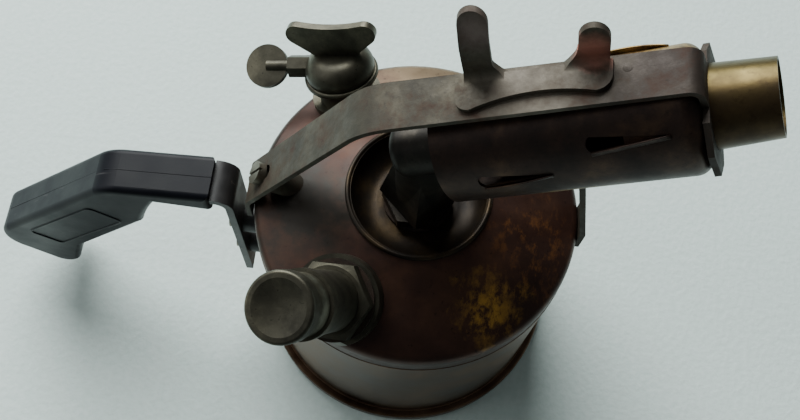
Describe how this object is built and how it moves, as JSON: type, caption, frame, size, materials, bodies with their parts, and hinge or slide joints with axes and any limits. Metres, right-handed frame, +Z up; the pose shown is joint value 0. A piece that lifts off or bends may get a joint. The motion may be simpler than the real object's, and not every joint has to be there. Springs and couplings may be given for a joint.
{
  "type": "paraffin blowlamp",
  "caption": "Brass paraffin blowlamp with a domed tank, hand pump, filler cap, louvred burner tube under a strap, soldering-iron rest and pistol grip.",
  "frame": {"origin": "middle of the foot ring, on the floor", "axes": "+Z up along the tank, +X the way the flame points, grip towards -X, pump on the -Y side"},
  "size_m": [0.2378, 0.1168, 0.179],
  "materials": {
    "tank_brass": "dull, patinated",
    "cup_brass": "worn bright",
    "burner_brass": "heat-browned",
    "stem_bronze": "dark, heat-stained casting",
    "fitting_brass": "dull",
    "strap_steel": "rusted sheet steel",
    "screw_steel": "worn",
    "bracket_black": "black, worn",
    "grip_moulding": "black moulded, rubbed",
    "sealing_fibre": "matte",
    "pump_leather_hide": "oiled"
  },
  "bodies": {
    "lamp": {"tank_wall": "tank_brass", "tank_top": "tank_brass", "tank_base": "tank_brass", "foot_ring": "tank_brass", "spirit_cup": "cup_brass", "centre_bush": "cup_brass", "burner_sleeve": "burner_brass", "flame_tube": "burner_brass", "jet_nipple": "burner_brass", "vaporiser_feed_tube": "burner_brass", "vaporiser_return_tube": "burner_brass", "vaporiser_ring": "burner_brass", "burner_stem": "stem_bronze", "filler_neck": "fitting_brass", "pump_flange": "fitting_brass", "pump_nut": "fitting_brass", "pump_barrel": "fitting_brass", "pump_cap": "fitting_brass", "valve_body": "fitting_brass", "pickup_tube": "fitting_brass", "pickup_strainer": "fitting_brass", "burner_strap": "strap_steel", "strap_yoke": "strap_steel", "strap_post": "strap_steel", "iron_rest": "strap_steel", "front_stay": "strap_steel", "strap_screw": "screw_steel", "bracket_screws": "screw_steel", "valve_spring": "screw_steel", "handle_bracket": "bracket_black", "handle_bosses": "bracket_black", "grip": "grip_moulding", "stem_washer": "sealing_fibre", "pump_gasket": "sealing_fibre"},
    "plunger": {"pump_knob": "fitting_brass", "pump_rod": "screw_steel", "pump_leather": "pump_leather_hide", "leather_washer": "fitting_brass", "piston_nut": "fitting_brass"},
    "cap_seal": {"filler_washer": "sealing_fibre"},
    "cap": {"filler_cap": "fitting_brass"},
    "air_valve": {"air_screw": "fitting_brass"},
    "pump_valve": {"valve_pip": "sealing_fibre"}
  },
  "joints": [
    {"name": "pump_stroke", "type": "slide", "parent": "lamp", "child": "plunger", "axis": [-0.253, -0.3483, 0.9026], "range_m": [0, 0.05]},
    {"name": "cap_lift", "type": "slide", "parent": "lamp", "child": "cap_seal", "axis": [-0.2232, 0.2909, 0.9304], "range_m": [0, 0.0075]},
    {"name": "cap_turn", "type": "hinge", "parent": "cap_seal", "child": "cap", "pos_m": [-0.02679, 0.03491, 0.08634], "axis": [-0.2232, 0.2909, 0.9304], "range_deg": [0, 1800]},
    {"name": "air_screw_turn", "type": "hinge", "parent": "cap", "child": "air_valve", "pos_m": [-0.02963, 0.03862, 0.0982], "axis": [-0.9694, 0.0335, -0.2431], "range_deg": [0, 540]},
    {"name": "valve_lift", "type": "slide", "parent": "lamp", "child": "pump_valve", "axis": [0.253, 0.3483, -0.9026], "range_m": [0, 0.0015], "stiffness_N_per_m": 20}
  ],
  "couplings": [
    {"joint": "cap_turn", "follows": "cap_lift", "rad_per_m": 4188.8}
  ]
}
